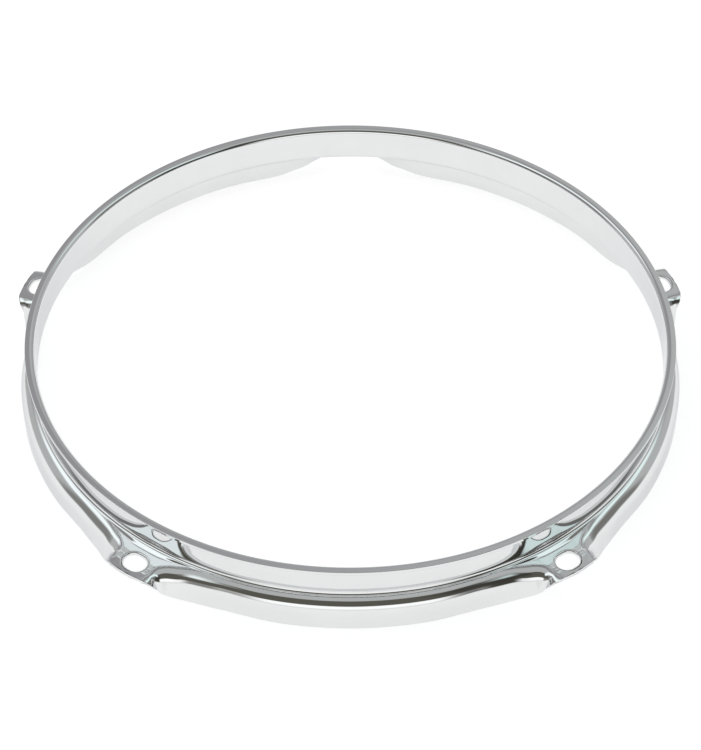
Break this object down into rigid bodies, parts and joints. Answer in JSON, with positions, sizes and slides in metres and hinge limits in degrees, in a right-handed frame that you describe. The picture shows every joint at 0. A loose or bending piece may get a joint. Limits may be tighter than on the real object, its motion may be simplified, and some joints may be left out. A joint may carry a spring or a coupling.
{
  "type": "drum hoop",
  "caption": "Pressed steel drum hoop with an outward lip, a straight wall, a stepped skirt, and level ears with oblong holes for tension rods.",
  "frame": {"origin": "on the ring's axis, half way between the lip's top and the skirt's bottom edge", "axes": "+Z along the ring's axis towards the lip and the player, +Y through the middle of one ear"},
  "size_m": [0.2854, 0.286, 0.0284],
  "materials": {
    "chrome": "polished chrome plate on steel"
  },
  "bodies": {
    "root": {"hoop_strip": "chrome", "butt_weld": "chrome"}
  },
  "joints": []
}
